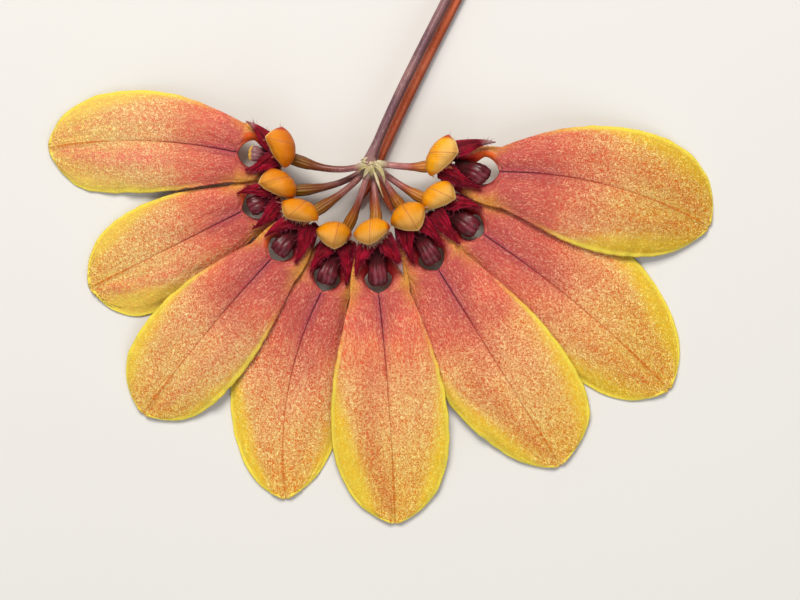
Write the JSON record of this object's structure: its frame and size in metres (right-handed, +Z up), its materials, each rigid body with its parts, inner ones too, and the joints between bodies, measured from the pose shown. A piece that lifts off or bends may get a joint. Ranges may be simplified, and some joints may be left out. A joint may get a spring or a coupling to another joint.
{
  "type": "bulbophyllum orchid umbel",
  "caption": "Half-round fan of broad flat lateral sepals under yellow hoods, crimson petals and dark lips, carried on slender stalks by a long cut stem, lying face up.",
  "frame": {"origin": "centre of the bounding box on the surface that the umbel lies on", "axes": "+Z up, out of the face of the flowers; +Y along the view's upward direction, toward the cut end of the stem; +X to the right"},
  "size_m": [0.0828, 0.0838, 0.0097],
  "materials": {
    "scape_skin": "mauve-brown waxy skin, plant tissue",
    "rear_scape_skin": "salmon-orange waxy skin, plant tissue",
    "bract_paper": "dry papery bract, cream to tan",
    "stalk_skin": "red-brown to olive-orange satin stalk, plant tissue",
    "column_flesh": "dark red waxy flesh, plant tissue",
    "hood_flesh": "golden yellow waxy flesh with fine veins and fringed edge, plant tissue",
    "sepal_flesh": "rose to coral-orange blade with fine golden mottling and yellow margin, plant tissue",
    "petal_flesh": "crimson fringed petal, plant tissue",
    "lip_flesh": "glossy dark maroon fleshy lip, plant tissue"
  },
  "bodies": {
    "root": {"scape": "scape_skin", "rear_scape": "rear_scape_skin", "floral_bracts": "bract_paper", "pedicel_1": "stalk_skin", "column_1": "column_flesh", "dorsal_sepal_1": "hood_flesh", "lateral_sepals_1": "sepal_flesh", "petal_left_1": "petal_flesh", "petal_right_1": "petal_flesh", "lip_1": "lip_flesh", "pedicel_2": "stalk_skin", "column_2": "column_flesh", "dorsal_sepal_2": "hood_flesh", "lateral_sepals_2": "sepal_flesh", "petal_left_2": "petal_flesh", "petal_right_2": "petal_flesh", "lip_2": "lip_flesh", "pedicel_3": "stalk_skin", "column_3": "column_flesh", "dorsal_sepal_3": "hood_flesh", "lateral_sepals_3": "sepal_flesh", "petal_left_3": "petal_flesh", "petal_right_3": "petal_flesh", "lip_3": "lip_flesh", "pedicel_4": "stalk_skin", "column_4": "column_flesh", "dorsal_sepal_4": "hood_flesh", "lateral_sepals_4": "sepal_flesh", "petal_left_4": "petal_flesh", "petal_right_4": "petal_flesh", "lip_4": "lip_flesh", "pedicel_5": "stalk_skin", "column_5": "column_flesh", "dorsal_sepal_5": "hood_flesh", "lateral_sepals_5": "sepal_flesh", "petal_left_5": "petal_flesh", "petal_right_5": "petal_flesh", "lip_5": "lip_flesh", "pedicel_6": "stalk_skin", "column_6": "column_flesh", "dorsal_sepal_6": "hood_flesh", "lateral_sepals_6": "sepal_flesh", "petal_left_6": "petal_flesh", "petal_right_6": "petal_flesh", "lip_6": "lip_flesh", "pedicel_7": "stalk_skin", "column_7": "column_flesh", "dorsal_sepal_7": "hood_flesh", "lateral_sepals_7": "sepal_flesh", "petal_left_7": "petal_flesh", "petal_right_7": "petal_flesh", "lip_7": "lip_flesh", "pedicel_8": "stalk_skin", "column_8": "column_flesh", "dorsal_sepal_8": "hood_flesh", "lateral_sepals_8": "sepal_flesh", "petal_left_8": "petal_flesh", "petal_right_8": "petal_flesh", "lip_8": "lip_flesh"}
  },
  "joints": []
}
